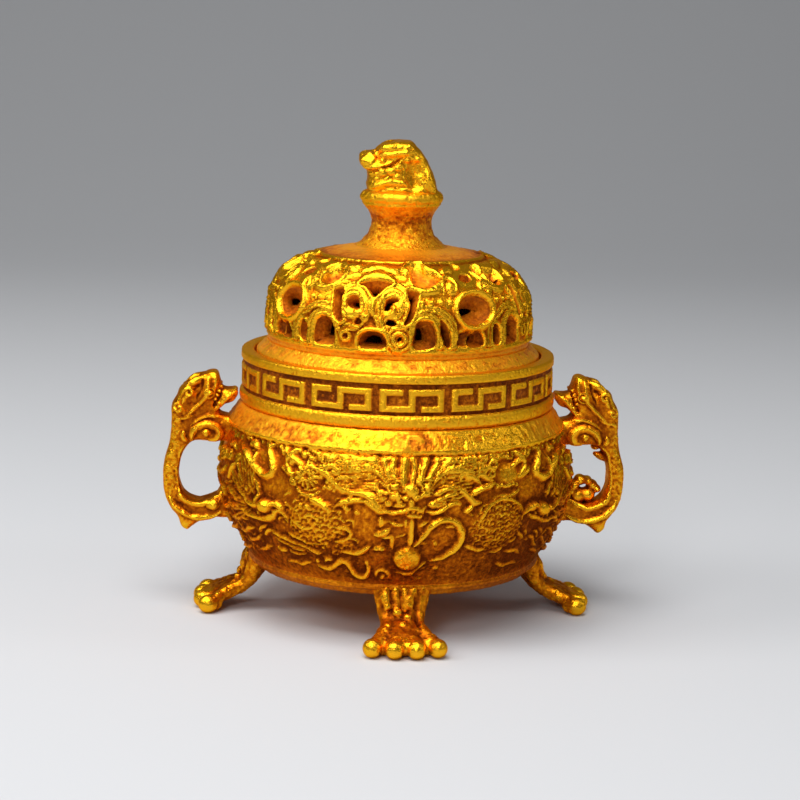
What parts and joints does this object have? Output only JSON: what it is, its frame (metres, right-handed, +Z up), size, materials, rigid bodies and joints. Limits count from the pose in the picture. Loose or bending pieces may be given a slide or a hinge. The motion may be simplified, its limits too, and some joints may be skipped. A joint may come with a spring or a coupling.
{
  "type": "incense burner",
  "caption": "Small footed brass incense burner with a round relief bowl, dragon handles and a pierced lift-off lid with a beast knob.",
  "frame": {"origin": "centre of the bounding box on the table plane, on the bowl's axis", "axes": "+Z up along the bowl's axis; the mask on the belly and one foot face -Y; the handles are on -X and +X"},
  "size_m": [0.0982, 0.0842, 0.1],
  "materials": {
    "cast_brass": "cast, polished on raised edges, orange-brown in the recesses",
    "washer_brass": "plain",
    "fastener_steel": "plain"
  },
  "bodies": {
    "burner": {"bowl": "cast_brass", "neck_collar": "cast_brass", "leg_front": "cast_brass", "leg_left": "cast_brass", "leg_right": "cast_brass", "leg_back": "cast_brass", "handle_left": "cast_brass", "handle_right": "cast_brass", "leg_screw_front": "fastener_steel", "leg_screw_left": "fastener_steel", "leg_screw_right": "fastener_steel", "leg_screw_back": "fastener_steel", "handle_screw_left_lower": "fastener_steel", "handle_screw_left_upper": "fastener_steel", "handle_screw_right_lower": "fastener_steel", "handle_screw_right_upper": "fastener_steel"},
    "lid": {"lid_flange": "cast_brass", "lid_dome": "cast_brass", "knob_pedestal": "cast_brass", "knob_beast": "cast_brass", "knob_screw": "fastener_steel", "knob_washer": "washer_brass"}
  },
  "joints": [
    {"name": "lid_lift", "type": "slide", "parent": "burner", "child": "lid", "axis": [0, 0, 1], "range_m": [0, 0.06]}
  ]
}
